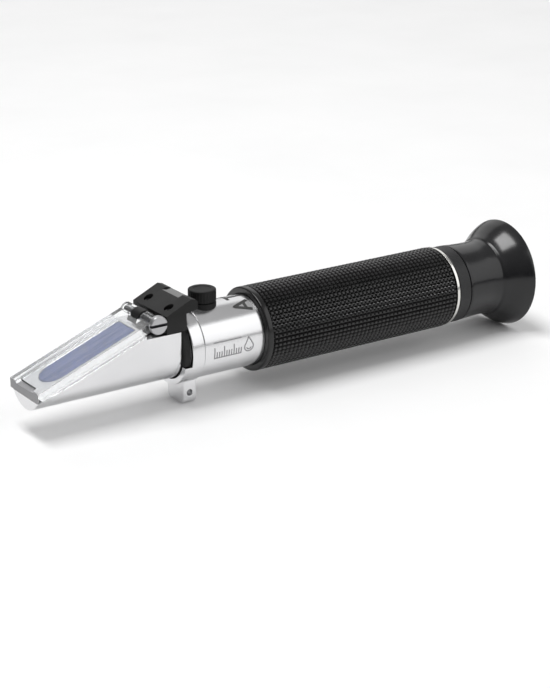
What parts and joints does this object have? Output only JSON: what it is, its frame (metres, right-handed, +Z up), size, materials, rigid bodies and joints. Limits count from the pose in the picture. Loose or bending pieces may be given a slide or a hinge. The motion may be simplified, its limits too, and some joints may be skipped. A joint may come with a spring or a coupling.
{
  "type": "hand-held refractometer",
  "caption": "Hand-held refractometer: sloping prism head under a hinged clear plate, chromed tube, studded grip and a focusing eyepiece with a flared rubber cup.",
  "frame": {"origin": "centre of the bounding box's bottom face, level with the strap lug's foot and the lowest point of the eyecup's rim", "axes": "+X along the optical axis towards the eyepiece, +Z up, +Y to the far side; the prism end points to -X"},
  "size_m": [0.203, 0.0404, 0.0404],
  "materials": {
    "satin_chrome": "satin plating",
    "prism_glass": "polished, blue cast",
    "clear_plate": "clear moulded plastic",
    "black_plastic": "moulded, semi-matt",
    "steel": "polished steel",
    "black_steel": "black oxide",
    "seal_rubber": "matt",
    "black_metal": "black anodised",
    "brass": "turned",
    "lens_glass": "polished",
    "bimetal": "rolled strip",
    "grip_rubber": "small raised points",
    "cup_rubber": "soft, satin"
  },
  "bodies": {
    "frame": {"prism_head": "satin_chrome", "main_prism": "prism_glass", "hinge_base": "black_plastic", "hinge_pin": "steel", "base_screw_near": "black_steel", "base_screw_far": "black_steel", "head_gasket": "seal_rubber", "strap_collar": "satin_chrome", "main_tube": "satin_chrome", "knob_bush": "black_metal", "strip_foot": "black_metal", "bimetal_strip": "bimetal", "strip_screw": "brass", "compensator_prism": "lens_glass", "light_stop": "black_metal", "reticle_mount": "black_metal", "reticle": "lens_glass", "reticle_ring": "black_metal", "grip_sleeve": "grip_rubber", "trim_ring": "steel", "eyepiece_bush": "black_metal"},
    "plate": {"daylight_plate": "clear_plate"},
    "knob": {"calibration_knob": "black_plastic", "calibration_screw": "brass"},
    "objective": {"objective_cell": "black_metal", "objective_lens": "lens_glass"},
    "ocular": {"ocular_cell": "black_metal", "field_lens": "lens_glass", "lens_spacer": "black_metal", "eye_lens": "lens_glass", "lens_retainer": "black_metal"},
    "barrel": {"focus_barrel": "black_plastic", "eyecup": "cup_rubber"}
  },
  "joints": [
    {"name": "plate_hinge", "type": "hinge", "parent": "frame", "child": "plate", "pos_m": [-0.05705, 0, 0.03303], "axis": [0, 1, 0], "range_deg": [0, 130]},
    {"name": "knob_turn", "type": "hinge", "parent": "frame", "child": "knob", "pos_m": [-0.03305, 0, 0], "axis": [0, 0, 1], "range_deg": [-360, 360]},
    {"name": "objective_shift", "type": "slide", "parent": "frame", "child": "objective", "axis": [0, 0, 1], "range_m": [-0.0005, 0.0005]},
    {"name": "ocular_travel", "type": "slide", "parent": "frame", "child": "ocular", "axis": [1, 0, 0], "range_m": [0, 0.00225]},
    {"name": "barrel_turn", "type": "hinge", "parent": "ocular", "child": "barrel", "pos_m": [0.08, 0, 0.0202], "axis": [1, 0, 0], "range_deg": [0, 540]}
  ],
  "couplings": [
    {"joint": "knob_turn", "follows": "objective_shift", "rad_per_m": -12566},
    {"joint": "barrel_turn", "follows": "ocular_travel", "rad_per_m": 4188.8}
  ]
}
